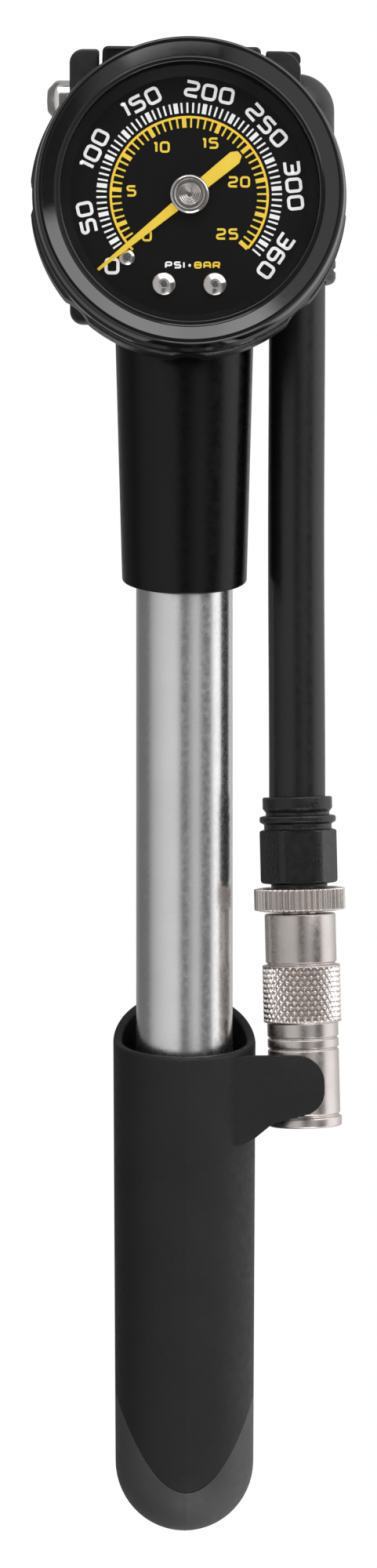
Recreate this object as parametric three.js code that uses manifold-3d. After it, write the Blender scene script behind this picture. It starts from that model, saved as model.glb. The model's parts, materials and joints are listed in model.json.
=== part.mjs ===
// A compact high-pressure hand pump for the air springs of bicycle suspension, with its hose folded back along the
// barrel and its valve chuck parked in the clip on the handle.
//
// Lengths are in millimetres and angles in degrees. The pump lies on its back with the dial up: +Z is the way the dial
// faces, +Y runs from the handle towards the gauge and +X is the side of the hose. Z = 0 is the flat back of the head,
// and X = Y = 0 is the axis of the gauge.
import * as THREE from 'three';
import { mergeVertices } from 'three/addons/utils/BufferGeometryUtils.js';
import Module from 'manifold-3d';

const wasm = await Module();
wasm.setup();

// ---- driving dimensions -------------------------------------------------------------------------------------------

const AXIS_Z = 10.7; // height of the pump's own axis, and of the hose, above the resting plane
const ROUND = 20; // sides of a turned part
const LARGE = 32; // sides of the gauge's rings
const FINE = 14; // sides of small turned parts
const TINY = 8; // sides of pins

const CORE = { left: -12.3, right: 10.9, top: 23.9, bottom: -14, back: 3.2, front: 21.2 };
const SHELL = { left: -17.1, right: 10.8, top: 23.9, bottom: -14, plate: 3.0 };
const GUARD = { left: 11.8, right: 16.9, wall: 22.3, low: 13, front: 18.4, corner: 1.2, earCorner: 2.8 };
const BLEED_Y = 17.9; // axis of the bleed button, along X
const SWIVEL_Y = 16.5; // axis of the hose's swivel, along X
const SOCKET_Y = 11; // axis of the gauge's socket, along Z

const BARREL = { radius: 7.2, bore: 6.2, top: -2.75, bottom: -184 };
const SLEEVE = { top: 10.4, rim: 9.3, bore: 7.45, start: -14.1, end: -53.5, slope: 0.29 };
const HANDLE = { rim: 10.62, end: 10.28, bore: 9.1, start: -121.9, ball: -184.75 };
const MOUTH = { front: 0.17, back: 0.64 }; // how steeply the handle's rim falls to the front and rises to the back
const ROD = 3.0; // radius of the piston rod

const CASE_BACK = 21.3; // back face of the gauge
const DIAL_Z = 32.0; // underside of the dial plate
const POINTER_Z = 33.05; // underside of the pointer
const LENS_Z = 34.4; // underside of the lens
const BEZEL_FRONT = 37.0;
const GEAR_Z = 27.2; // underside of the sector gear
const SECTOR_Y = -13.2; // pivot of the sector gear
const MODULE = 0.24; // gear module of the movement
const PINION_TEETH = 10;
const SECTOR_TEETH = 100; // of which only the few that the pinion meets are cut

const HOSE_X = 16.85; // axis of the hose and its upper boot
const HOSE = { radius: 4.2, bore: 2.1, top: 9.8, bottom: -96.0 };
const CHUCK_TOP = -85.8; // where the hose enters the chuck's boot
const CHUCK_TILT = 1.4; // how far the chuck leans out from the barrel

// ---- solids -------------------------------------------------------------------------------------------------------

// A closed geometry as a solid that can be cut and joined.
function solidOf(geometry) {
  const bare = geometry.index ? geometry.toNonIndexed() : geometry;
  const points = new THREE.BufferGeometry().setAttribute('position', bare.getAttribute('position'));
  const merged = mergeVertices(points, 1e-4);
  const index = merged.index.array;
  const faces = [];
  for (let i = 0; i < index.length; i += 3) {
    const [a, b, c] = index.slice(i, i + 3);
    if (a !== b && b !== c && c !== a) {
      faces.push(a, b, c);
    }
  }
  const mesh = new wasm.Mesh({
    numProp: 3,
    vertProperties: merged.attributes.position.array,
    triVerts: new Uint32Array(faces),
  });
  return new wasm.Manifold(mesh);
}

function geometryOf(solid) {
  const mesh = solid.getMesh();
  const geometry = new THREE.BufferGeometry();
  geometry.setAttribute('position', new THREE.BufferAttribute(mesh.vertProperties, 3));
  geometry.setIndex(new THREE.BufferAttribute(mesh.triVerts, 1));
  return geometry;
}

function join(first, ...others) {
  return geometryOf(others.reduce((sum, other) => sum.add(solidOf(other)), solidOf(first)));
}

function cut(first, ...others) {
  return geometryOf(others.reduce((rest, other) => rest.subtract(solidOf(other)), solidOf(first)));
}

function common(first, second) {
  return geometryOf(solidOf(first).intersect(solidOf(second)));
}

// A profile of [radius, position] corners turned about the Y axis.
function turned(profile, sides = ROUND) {
  const loop = profile.map(([radius, along]) => new THREE.Vector2(radius, along));
  if (THREE.ShapeUtils.area(loop) < 0) {
    loop.reverse();
  }
  loop.push(loop[0].clone());
  return new THREE.LatheGeometry(loop, sides);
}

// The same, about the pump's axis, about a line along X, and about a line along Z.
function onBarrel(profile, sides = ROUND) {
  return turned(profile, sides).translate(0, 0, AXIS_Z);
}

function alongX(profile, y, sides = ROUND) {
  return turned(profile, sides).rotateZ(-Math.PI / 2).translate(0, y, AXIS_Z);
}

function alongZ(profile, x = 0, y = 0, sides = ROUND) {
  return turned(profile, sides).rotateX(Math.PI / 2).translate(x, y, 0);
}

function rod(radius, from, to) {
  return [[0, from], [radius, from], [radius, to], [0, to]];
}

function ring(inner, outer, from, to) {
  return [[inner, from], [outer, from], [outer, to], [inner, to]];
}

// The section of a ring of round cord: its centre lies at [radius, along].
function cord(radius, along, thickness, sides = 6) {
  const corners = [];
  for (let i = 0; i < sides; i += 1) {
    const angle = (2 * Math.PI * (i + 0.5)) / sides;
    corners.push([radius + thickness * Math.cos(angle), along + thickness * Math.sin(angle)]);
  }
  return corners;
}

function box(x0, x1, y0, y1, z0, z1) {
  return new THREE.BoxGeometry(x1 - x0, y1 - y0, z1 - z0)
    .translate((x0 + x1) / 2, (y0 + y1) / 2, (z0 + z1) / 2);
}

// A flat plate of an outline in the XY plane. Each corner is [x, y] or [x, y, rounding radius].
function plate(corners, z0, z1, steps = 6) {
  const outline = [];
  corners.forEach(([x, y, radius = 0], i) => {
    const corner = new THREE.Vector2(x, y);
    if (radius === 0) {
      outline.push(corner);
      return;
    }
    const before = new THREE.Vector2(...corners.at(i - 1).slice(0, 2)).sub(corner).normalize();
    const after = new THREE.Vector2(...corners[(i + 1) % corners.length].slice(0, 2)).sub(corner).normalize();
    const half = Math.acos(before.dot(after)) / 2;
    const middle = before.clone().add(after).normalize().multiplyScalar(radius / Math.sin(half)).add(corner);
    const first = before.multiplyScalar(radius / Math.tan(half)).add(corner).sub(middle);
    const last = after.multiplyScalar(radius / Math.tan(half)).add(corner).sub(middle);
    const start = Math.atan2(first.y, first.x);
    let turn = Math.atan2(last.y, last.x) - start;
    turn -= 2 * Math.PI * Math.round(turn / (2 * Math.PI));
    for (let k = 0; k <= steps; k += 1) {
      const angle = start + (turn * k) / steps;
      outline.push(new THREE.Vector2(middle.x + radius * Math.cos(angle), middle.y + radius * Math.sin(angle)));
    }
  });
  const shape = new THREE.Shape(outline);
  return new THREE.ExtrudeGeometry(shape, { depth: z1 - z0, bevelEnabled: false }).translate(0, 0, z0);
}

// A coil spring about the Y axis.
function coil(radius, wire, from, to, turns) {
  class Helix extends THREE.Curve {
    getPoint(t, target = new THREE.Vector3()) {
      const angle = 2 * Math.PI * turns * t;
      return target.set(radius * Math.cos(angle), from + (to - from) * t, radius * Math.sin(angle));
    }
  }
  const section = new THREE.Shape();
  section.absarc(0, 0, wire, 0, 2 * Math.PI);
  return new THREE.ExtrudeGeometry(section, {
    steps: Math.round(turns * TINY),
    curveSegments: 3,
    extrudePath: new Helix(),
    bevelEnabled: false,
  });
}

// ---- finishes -----------------------------------------------------------------------------------------------------

function finish(color, metalness, roughness) {
  return new THREE.MeshStandardMaterial({ color, metalness, roughness });
}

const GLOSS_BLACK = finish(0x141416, 0.1, 0.3);
const SATIN_BLACK = finish(0x242527, 0, 0.55);
const MATTE_BLACK = finish(0x2b2c2d, 0, 0.8);
const GREY_PLASTIC = finish(0x4a4a4c, 0, 0.6);
const RUBBER = finish(0x1c1c1e, 0, 0.85);
const ALUMINIUM = finish(0xc9ccd0, 1, 0.35);
const NICKEL = finish(0xc7bab2, 1, 0.25);
const STEEL = finish(0xa8aaad, 1, 0.3);
const BRASS = finish(0xb08d57, 1, 0.35);
const DIAL_BLACK = finish(0x101012, 0, 0.7);
const POINTER_YELLOW = finish(0xf5cf3a, 0, 0.6);
const CLEAR = new THREE.MeshStandardMaterial({
  color: 0xffffff, metalness: 0, roughness: 0.03, transparent: true, opacity: 0.15,
});

const pump = new THREE.Group();
pump.name = 'shock_suspension_pump';

function add(name, geometry, material) {
  const mesh = new THREE.Mesh(geometry, material);
  mesh.name = name;
  pump.add(mesh);
}

// ---- head ---------------------------------------------------------------------------------------------------------

const COVER_SCREWS = [[-9, -10.5], [9, -10.5], [-8.6, 21.3], [7.4, 21.3]];
const ELBOW_BORE = 3.3;
const BLEED_BORE = 2.7;

add('head_core', cut(
  plate([
    [CORE.left, CORE.bottom], [CORE.right, CORE.bottom],
    [CORE.right, CORE.top, 1.2], [CORE.left, CORE.top, 1.2],
  ], CORE.back, CORE.front),
  onBarrel(rod(7.3, CORE.bottom - 1, -2)),
  onBarrel(rod(3.6, -3, 6), FINE),
  onBarrel(rod(2.2, 5, 20.5), FINE),
  alongX(rod(1.5, 0, 4), SWIVEL_Y, TINY),
  alongX(rod(ELBOW_BORE, 3, 12), SWIVEL_Y, FINE),
  alongX(rod(4.05, 7.9, 9.1), SWIVEL_Y, FINE),
  alongX(rod(BLEED_BORE, -14, -0.5), BLEED_Y, FINE),
  alongZ(rod(1.2, AXIS_Z, 17), 0, SOCKET_Y, TINY),
  alongZ(rod(4.2, 16.5, 22), 0, SOCKET_Y, ROUND),
  ...COVER_SCREWS.map(([x, y]) => alongZ(rod(1.0, 3, 9), x, y, TINY)),
), GLOSS_BLACK);

const shellBack = plate([
  [SHELL.left, SHELL.bottom, 1.5], [SHELL.right, SHELL.bottom], [SHELL.right, GUARD.wall],
  [GUARD.right, GUARD.wall], [GUARD.right, SHELL.top, GUARD.corner], [SHELL.left, SHELL.top, 2],
], 0, SHELL.plate);
const bleedHousing = plate([
  [SHELL.left, 11, 2], [-12.8, 11], [-12.8, SHELL.top], [SHELL.left, SHELL.top, 2],
], 1, 19);
// The guard is a wall above the swivel and an ear in front of it. The hose swings away behind it.
const guardWall = plate([
  [GUARD.left, GUARD.wall], [GUARD.right, GUARD.wall], [GUARD.right, SHELL.top, GUARD.corner], [GUARD.left, SHELL.top],
], 1, GUARD.front);
const guardEar = plate([
  [GUARD.left, GUARD.low], [GUARD.right, GUARD.low], [GUARD.right, SHELL.top, GUARD.earCorner], [GUARD.left, SHELL.top],
], GUARD.front - 1.7, GUARD.front);
add('head_shell', cut(
  join(shellBack, bleedHousing, guardWall, guardEar),
  alongX(rod(3.3, -18, -12), BLEED_Y, FINE),
  ...COVER_SCREWS.map(([x, y]) => alongZ(rod(1.2, -1, 4), x, y, TINY)),
  ...COVER_SCREWS.map(([x, y]) => alongZ(rod(2.1, -1, 1.5), x, y, FINE)),
), SATIN_BLACK);

COVER_SCREWS.forEach(([x, y], i) => {
  const profile = [[0, 0.5], [0.7, 0.5], [0.7, 0.15], [1.9, 0.15], [1.9, 1.45], [0.9, 1.45], [0.9, 8.5], [0, 8.5]];
  add(`cover_screw_${i + 1}`, alongZ(profile, x, y, TINY), STEEL);
});

// Everything below a plane that slants down towards the front.
function belowSlant(y, slope) {
  const lean = Math.atan(slope);
  return new THREE.BoxGeometry(60, 60, 60)
    .translate(0, -30, 0)
    .rotateX(lean)
    .translate(0, y, AXIS_Z);
}

add('upper_sleeve', cut(
  onBarrel([
    [SLEEVE.bore, SLEEVE.start], [SLEEVE.top, SLEEVE.start], [SLEEVE.rim, -58], [SLEEVE.bore, -58],
  ]),
  belowSlant(SLEEVE.end, SLEEVE.slope),
), GLOSS_BLACK);

add('barrel', onBarrel(ring(BARREL.bore, BARREL.radius, BARREL.bottom, BARREL.top)), ALUMINIUM);
add('barrel_seal', onBarrel(ring(6.3, 7.1, -2.7, -2.05)), RUBBER);
add('rod_guide', onBarrel([
  [ROD + 0.3, -185.2], [7.1, -185.2], [7.1, -184.05], [6.1, -184.05], [6.1, -176], [ROD + 0.3, -176],
]), BRASS);

// ---- check valve --------------------------------------------------------------------------------------------------

add('check_seat', onBarrel(ring(0.9, 3.5, -1.95, -0.1), FINE), BRASS);
add('check_poppet', onBarrel([
  [0, -0.05], [2.9, -0.05], [2.9, 0.85], [1.1, 0.85], [1.1, 2.2], [0, 2.2],
], FINE), RUBBER);
add('check_spring', coil(2.2, 0.22, 1.15, 5.7, 4).translate(0, 0, AXIS_Z), STEEL);

// ---- gauge housing ------------------------------------------------------------------------------------------------

const WALL_INNER = 19.9;
const SOCKET_HOLE = 4.3;

add('gauge_case', cut(
  alongZ([
    [0, CASE_BACK], [20.6, CASE_BACK], [21.5, CASE_BACK + 0.9], [21.5, 30.7], [20.8, 30.7],
    [20.8, DIAL_Z], [WALL_INNER, DIAL_Z], [WALL_INNER, 23], [0, 23],
  ], 0, 0, LARGE),
  alongZ(rod(SOCKET_HOLE, 20, 24), 0, SOCKET_Y, ROUND),
), SATIN_BLACK);

const GRIP_NOTCHES = 8;
const gripNotches = Array.from({ length: GRIP_NOTCHES }, (_, i) => {
  const angle = (2 * Math.PI * i) / GRIP_NOTCHES;
  return alongZ(rod(6, 23, 31), 28.15 * Math.cos(angle), 28.15 * Math.sin(angle), LARGE);
});
add('gauge_grip', cut(
  alongZ([[21.6, 25.0], [22.4, 25.0], [22.75, 25.6], [22.75, 29.8], [22.4, 30.4], [21.6, 30.4]], 0, 0, LARGE),
  ...gripNotches,
), RUBBER);

add('gauge_bezel', alongZ([
  [20.95, 30.8], [22.1, 30.8], [22.4, 31.6], [22.4, 33.6], [22.1, 35.2], [21.7, 36.6], [21.4, BEZEL_FRONT],
  [21.0, BEZEL_FRONT], [19.1, 36.1], [18.4, 35.9], [18.4, 35.5], [20.95, 35.5],
], 0, 0, LARGE), GLOSS_BLACK);
// The gasket slopes inwards to the dial under the lens.
add('lens_gasket', alongZ([
  [18.4, LENS_Z - 0.05], [20.5, LENS_Z - 0.05], [20.5, DIAL_Z + 0.55], [17.0, DIAL_Z + 0.55], [18.4, 33.85],
], 0, 0, LARGE), RUBBER);
add('gauge_lens', alongZ(rod(20.6, LENS_Z, 35.4), 0, 0, LARGE), CLEAR);

// ---- dial ---------------------------------------------------------------------------------------------------------

const DIAL_SCREWS = { dial_screw_left: [-3.65, -12.7], dial_screw_right: [3.65, -12.7] };
const STOP = [-8.9, -8.9];
const DIAL_TOP = DIAL_Z + 0.5;

add('dial_plate', cut(
  alongZ(rod(20.4, DIAL_Z + 0.03, DIAL_TOP), 0, 0, LARGE),
  alongZ(rod(1.0, 31, 34), 0, 0, TINY),
  ...[...Object.values(DIAL_SCREWS), STOP].map(([x, y]) => alongZ(rod(0.7, 31, 34), x, y, TINY)),
), DIAL_BLACK);

for (const [name, [x, y]] of Object.entries(DIAL_SCREWS)) {
  add(name, alongZ([
    [0, 30.3], [0.6, 30.3], [0.6, DIAL_TOP + 0.03], [1.75, DIAL_TOP + 0.03], [1.75, 32.85], [1.45, 33.15],
    [0.5, 33.15], [0.5, 32.8], [0, 32.8],
  ], x, y, FINE), STEEL);
}
add('pointer_stop', alongZ([
  [0, 30.3], [0.6, 30.3], [0.6, DIAL_TOP + 0.03], [1.13, DIAL_TOP + 0.03], [1.13, 32.8], [0.7, 32.95],
  [0.7, 33.3], [0, 33.3],
], ...STOP, TINY), STEEL);

const POINTER_REST = 230.5; // clockwise from the top of the dial
const TAIL_HALF = 1.0;
const pointerShape = plate([
  [-0.22, 16.9], [-0.62, 9], [-0.95, 2.4], [-TAIL_HALF, 0], [-TAIL_HALF, -9.35, 0.95],
  [TAIL_HALF, -9.35, 0.95], [TAIL_HALF, 0], [0.95, 2.4], [0.62, 9], [0.22, 16.9],
], POINTER_Z, POINTER_Z + 0.22, 4);
add('pointer', cut(
  pointerShape.rotateZ(THREE.MathUtils.degToRad(-POINTER_REST)),
  alongZ(rod(0.55, 32, 35), 0, 0, TINY),
), POINTER_YELLOW);
add('pointer_hub', alongZ([
  [0, POINTER_Z + 0.25], [2.8, POINTER_Z + 0.25], [2.8, 33.75], [2.5, 34.0], [0.5, 34.0], [0.5, 33.7], [0, 33.7],
], 0, 0, ROUND), NICKEL);

// ---- movement -----------------------------------------------------------------------------------------------------

const ADDENDUM = 0.2;
const DEDENDUM = 0.26;
const PINION_PITCH = (MODULE * PINION_TEETH) / 2;
const SECTOR_PITCH = (MODULE * SECTOR_TEETH) / 2;
const TOOTH_PITCH = Math.PI * MODULE;

// The four corners of a tooth that points along the given angle, from its clockwise root to its other root.
function tooth(pitchRadius, angle) {
  const corners = [[-DEDENDUM, -0.2], [ADDENDUM, -0.09], [ADDENDUM, 0.09], [-DEDENDUM, 0.2]];
  return corners.map(([height, share]) => {
    const radius = pitchRadius + height;
    const at = angle + (share * TOOTH_PITCH) / pitchRadius;
    return [radius * Math.cos(at), radius * Math.sin(at)];
  });
}

const pinionTeeth = [];
for (let i = 0; i < PINION_TEETH; i += 1) {
  const step = (2 * Math.PI) / PINION_TEETH;
  pinionTeeth.push(...tooth(PINION_PITCH, -Math.PI / 2 + step * (i + 0.5)));
}
add('pinion_shaft', join(
  alongZ(rod(0.45, 24.5, POINTER_Z + 0.2), 0, 0, TINY),
  plate(pinionTeeth, GEAR_Z - 0.2, GEAR_Z + 1.4),
), BRASS);

const sectorOutline = [];
for (let i = 9; i >= -1; i -= 1) {
  const step = (2 * Math.PI) / SECTOR_TEETH;
  sectorOutline.push(...tooth(SECTOR_PITCH, Math.PI / 2 - step * i));
}
const LINK_PIN = [4, 0]; // from the sector's pivot
const sectorPlate = plate([
  ...sectorOutline, [-0.9, 1.2], [-1.3, 0, 0.6], [-0.6, -1.3, 0.5], [4.9, -0.9, 0.7], [4.9, 0.9, 0.7], [1.9, 1.2],
], GEAR_Z, GEAR_Z + 1.2, 3);
add('sector_gear', join(
  sectorPlate.translate(0, SECTOR_Y, 0),
  alongZ(rod(0.6, 24.5, 30.9), 0, SECTOR_Y, TINY),
  alongZ(rod(0.45, GEAR_Z + 1, 29.4), LINK_PIN[0], SECTOR_Y + LINK_PIN[1], TINY),
), BRASS);

const POSTS = { movement_post_left: [-10.6, -8.6], movement_post_right: [10.6, -8.6] };
const movementOutline = [
  [-3, 3.4, 1.5], [-12.6, -6.2, 1.5], [-12.2, -10.8, 1.5], [-5.4, -15.2, 1.5],
  [5.4, -15.2, 1.5], [12.2, -10.8, 1.5], [12.6, -6.2, 1.5], [3, 3.4, 1.5],
];
function movementPlate(z0, z1, holes) {
  return cut(
    plate(movementOutline, z0, z1, 3),
    ...holes.map(([x, y, radius]) => alongZ(rod(radius, z0 - 1, z1 + 1), x, y, TINY)),
  );
}
const pivotHoles = [[0, 0, 0.55], [0, SECTOR_Y, 0.7]];
const postHoles = Object.values(POSTS).map(([x, y]) => [x, y, 1.25]);
const screwHoles = [...Object.values(DIAL_SCREWS), STOP].map(([x, y]) => [x, y, 0.7]);
add('movement_lower_plate', movementPlate(24.4, 25.2, [...pivotHoles, ...postHoles]), BRASS);
add('movement_upper_plate', movementPlate(30.2, 31.0, [...pivotHoles, ...postHoles, ...screwHoles]), BRASS);
for (const [name, [x, y]] of Object.entries(POSTS)) {
  add(name, alongZ(rod(1.2, 23.05, DIAL_Z - 0.02), x, y, TINY), BRASS);
}

// The curved tube runs three quarters of the way round from the socket's block, and the link takes its tip's travel
// to the sector gear.
const TUBE = { radius: 16.2, z: 27.4, halfThick: 0.7, halfTall: 1.6, wall: 0.25 };
function oval(inset) {
  const corners = [];
  for (let i = 0; i < 8; i += 1) {
    const angle = (2 * Math.PI * (i + 0.5)) / 8;
    corners.push([
      TUBE.radius + (TUBE.halfThick - inset) * Math.cos(angle) * 1.08,
      TUBE.z + (TUBE.halfTall - inset) * Math.sin(angle) * 1.08,
    ]);
  }
  return corners;
}
const TUBE_TIP = [15.2, 5.6];
const openSide = plate([[-4.6, 30], [-4.6, 0], [0, 0], [30 * Math.cos(0.35), 30 * Math.sin(0.35)]], 20, 33);
const tubeTip = plate([
  [13.4, 3.0, 0.6], [15.9, 3.9, 0.6], [15.3, 6.3, 0.4], [12.8, 5.4, 0.6],
], TUBE.z - 1.4, GEAR_Z + 1.3, 3);
add('bourdon_tube', join(
  cut(
    cut(alongZ(oval(0), 0, 0, LARGE), alongZ(oval(TUBE.wall), 0, 0, LARGE)),
    openSide,
  ),
  tubeTip,
), BRASS);

const linkFrom = new THREE.Vector2(LINK_PIN[0], SECTOR_Y + LINK_PIN[1]);
const linkTo = new THREE.Vector2(13.6, 4.3);
const linkWay = linkTo.clone().sub(linkFrom);
const linkBar = plate([
  [-0.9, -0.9, 0.8], [linkWay.length() + 0.9, -0.9, 0.8], [linkWay.length() + 0.9, 0.9, 0.8], [-0.9, 0.9, 0.8],
], GEAR_Z + 1.5, GEAR_Z + 2.0, 3);
add('tube_link', cut(
  linkBar.rotateZ(linkWay.angle()).translate(linkFrom.x, linkFrom.y, 0),
  alongZ(rod(0.55, 28, 30), linkFrom.x, linkFrom.y, TINY),
  alongZ(rod(0.55, 28, 30), linkTo.x, linkTo.y, TINY),
), STEEL);

const spiral = [];
const SPIRAL_STEPS = 36;
const SPIRAL_TURNS = 3;
for (const side of [1, -1]) {
  for (let k = 0; k <= SPIRAL_STEPS; k += 1) {
    const share = side === 1 ? k / SPIRAL_STEPS : 1 - k / SPIRAL_STEPS;
    const angle = 2 * Math.PI * SPIRAL_TURNS * share;
    const radius = 0.95 + 2.5 * share + side * 0.09;
    spiral.push([radius * Math.cos(angle), radius * Math.sin(angle)]);
  }
}
add('hair_spring', plate(spiral, 29.3, 29.7), STEEL);

const SOCKET = { stem: 3.9, groove: 3.0 };
add('gauge_socket', cut(
  join(
    alongZ([
      [0, 16.7], [SOCKET.stem, 16.7], [SOCKET.stem, 18.0], [SOCKET.groove, 18.0], [SOCKET.groove, 19.2],
      [SOCKET.stem, 19.2], [SOCKET.stem, 24], [0, 24],
    ], 0, SOCKET_Y, ROUND),
    box(-4.5, 4.5, 7.2, 17.4, 23.05, 29.6),
  ),
  alongZ(rod(0.8, 16, 27.4), 0, SOCKET_Y, TINY),
), BRASS);
add('socket_o_ring', alongZ(cord(3.58, 18.6, 0.5), 0, SOCKET_Y, ROUND), RUBBER);

// ---- bleed valve --------------------------------------------------------------------------------------------------

add('bleed_button', alongX([
  [0, -20.5], [1.3, -20.4], [2.4, -19.9], [3.0, -19.0], [3.0, -14.8], [2.35, -14.8], [2.35, -18.0], [0, -18.0],
], BLEED_Y, ROUND), NICKEL);
add('bleed_stem', alongX([
  [0, -17.95], [0.8, -17.95], [0.8, -4.4], [1.7, -4.4], [1.7, -3.2], [0, -3.2],
], BLEED_Y, TINY), BRASS);
add('bleed_spring', coil(1.75, 0.22, -17.6, -12.45, 5)
  .rotateZ(-Math.PI / 2)
  .translate(0, BLEED_Y, AXIS_Z), STEEL);
add('bleed_bush', alongX([
  [1.0, -12.15], [2.62, -12.15], [2.62, -5.3], [1.0, -5.3],
], BLEED_Y, FINE), BRASS);
add('bleed_o_ring', alongX(cord(1.3, -4.85, 0.4), BLEED_Y, TINY), RUBBER);

// ---- piston and rod -----------------------------------------------------------------------------------------------

add('piston', onBarrel([
  [0, -3.2], [5.9, -3.2], [5.9, -5.2], [4.6, -5.2], [4.6, -7.0], [5.9, -7.0], [5.9, -11.5],
  [2.5, -11.5], [2.5, -10.2], [3.3, -10.2], [3.3, -8.0], [0, -8.0],
]), ALUMINIUM);
add('piston_o_ring', onBarrel(cord(5.37, -6.1, 0.75)), RUBBER);
add('piston_rod', onBarrel([
  [0, -8.3], [ROD, -8.3], [ROD, -9.9], [2.2, -9.9], [2.2, -11.8], [ROD, -11.8],
  [ROD, -188.6], [2.2, -188.6], [2.2, -192], [0, -192],
], FINE), STEEL);
add('rod_bumper', onBarrel(ring(3.15, 6, -188.5, -187.1), FINE), RUBBER);
add('rod_anchor', onBarrel(ring(2.3, 4.9, -192.1, -188.65), FINE), BRASS);

// ---- handle -------------------------------------------------------------------------------------------------------

// The handle as one closed body: a long cup that tapers a little and ends in a half ball.
const outside = [[0, -118], [HANDLE.rim, -118]];
const BALL_STEPS = 8;
for (let k = 0; k <= BALL_STEPS; k += 1) {
  const angle = (Math.PI / 2) * (k / BALL_STEPS);
  outside.push([HANDLE.end * Math.cos(angle), HANDLE.ball - HANDLE.end * Math.sin(angle)]);
}
const inside = [[0, -117], [HANDLE.bore, -117], [HANDLE.bore, -184.9], [7.6, -188.6], [0, -188.6]];
const mouth = plate([
  [-30, HANDLE.start + 30 * MOUTH.back], [0, HANDLE.start], [30, HANDLE.start - 30 * MOUTH.front], [30, -60], [-30, -60],
], -30, 30)
  .rotateY(-Math.PI / 2)
  .translate(0, 0, AXIS_Z);
const handleBody = cut(
  onBarrel(outside),
  onBarrel(inside),
  onBarrel(rod(5.0, -192.2, -188)),
  mouth,
);

const CAP = { tongue: -187.5, rise: 13.2 };

// Seen from the front, the black shell ends in a tongue and the grey cap rises at both sides of it.
function capRegion(shift) {
  const edge = [];
  for (let k = -6; k <= 6; k += 1) {
    const x = k * 1.9;
    const share = Math.min(1, Math.abs(x) / HANDLE.end);
    edge.push([x, CAP.tongue + CAP.rise * share ** 2 + shift]);
  }
  return plate([...edge, [14, -200], [-14, -200]], -5, 30);
}
add('handle_end_cap', common(handleBody, capRegion(-0.06)), GREY_PLASTIC);

const CLIP = { front: 18.4, back: 16.3, top: -123.95, tip: [16.4, -127.95], radius: 4.0 };
const clipEdge = [[5, CLIP.top], [5, -137.2], [8.4, -137.0], [10.1, -136.0], [12.7, -133.9], [15.85, -132.7]];
for (let k = 2; k <= 8; k += 1) {
  const angle = -Math.PI / 2 + (Math.PI * k) / 8;
  clipEdge.push([CLIP.tip[0] + CLIP.radius * Math.cos(angle), CLIP.tip[1] + CLIP.radius * Math.sin(angle)]);
}
const gusset = plate([[6, 16.5], [6, 11], [9.4, 11], [12.4, 16.5]], 0, 2.4)
  .rotateX(Math.PI / 2)
  .translate(0, -131.6, 0);
add('handle_shell', cut(
  join(
    cut(handleBody, capRegion(0)),
    cut(join(plate(clipEdge, CLIP.back, CLIP.front), gusset), onBarrel(rod(HANDLE.bore + 0.4, -140, -120))),
  ),
), MATTE_BLACK);

// ---- hose ---------------------------------------------------------------------------------------------------------

function onHose(profile, sides = ROUND) {
  return turned(profile, sides).translate(HOSE_X, 0, AXIS_Z);
}

// Below the chuck's boot everything leans a little away from the barrel.
function onChuck(geometry) {
  return geometry
    .translate(0, -CHUCK_TOP, 0)
    .rotateZ(THREE.MathUtils.degToRad(CHUCK_TILT))
    .translate(HOSE_X, CHUCK_TOP, AXIS_Z);
}

const ELBOW = 3.7;
function elbowForm(grow) {
  return join(
    new THREE.SphereGeometry(ELBOW + grow, FINE, 6).translate(HOSE_X, SWIVEL_Y, AXIS_Z),
    onHose(rod(ELBOW + grow, 10.1 - grow, SWIVEL_Y), FINE),
    alongX(rod(ROD + grow, 9.2, HOSE_X), SWIVEL_Y, FINE),
  );
}
add('swivel_elbow', cut(
  join(
    elbowForm(0),
    onHose(rod(1.95, 0, 11), FINE),
    alongX([
      [0, 3.3], [ROD, 3.3], [ROD, 5.1], [2.05, 5.1], [2.05, 6.5], [ROD, 6.5], [ROD, 7.8], [2.3, 7.8],
      [2.3, 9.2], [ROD, 9.2], [ROD, 10], [0, 10],
    ], SWIVEL_Y, FINE),
  ),
  alongX(rod(1.0, 3, HOSE_X), SWIVEL_Y, TINY),
  onHose(rod(1.0, -1, SWIVEL_Y), TINY),
), NICKEL);
add('elbow_o_ring', alongX(cord(2.66, 5.8, 0.53), SWIVEL_Y, FINE), RUBBER);
add('elbow_clip', alongX(ring(2.45, 3.95, 8.05, 8.95), SWIVEL_Y, FINE), STEEL);

const BOOT = 5.55;
const upperBootOutside = [[0, -9], [5.4, -9], [5.75, -8.6], [5.75, -5.8], [5.6, -5.4]];
for (let k = 0; k <= 6; k += 1) {
  const angle = (Math.PI / 2) * (k / 6);
  upperBootOutside.push([BOOT * Math.cos(angle), SWIVEL_Y + BOOT * Math.sin(angle)]);
}
add('upper_boot', cut(
  onHose(upperBootOutside),
  onHose(rod(HOSE.radius + 0.1, -10, 10.05)),
  elbowForm(0.12),
), RUBBER);

// One length of hose that bends a little where it enters the chuck's boot.
const hose = turned([
  [HOSE.bore, HOSE.bottom], [HOSE.radius, HOSE.bottom], [HOSE.radius, CHUCK_TOP], [HOSE.radius, HOSE.top],
  [HOSE.bore, HOSE.top], [HOSE.bore, CHUCK_TOP],
]);
const hosePoints = hose.getAttribute('position');
for (let i = 0; i < hosePoints.count; i += 1) {
  const point = new THREE.Vector3().fromBufferAttribute(hosePoints, i);
  if (point.y < CHUCK_TOP - 1) {
    point.y -= CHUCK_TOP;
    point.applyAxisAngle(new THREE.Vector3(0, 0, 1), THREE.MathUtils.degToRad(CHUCK_TILT));
    point.y += CHUCK_TOP;
  }
  hosePoints.setXYZ(i, point.x + HOSE_X, point.y, point.z + AXIS_Z);
}
add('hose', hose, RUBBER);

// ---- chuck --------------------------------------------------------------------------------------------------------

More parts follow.
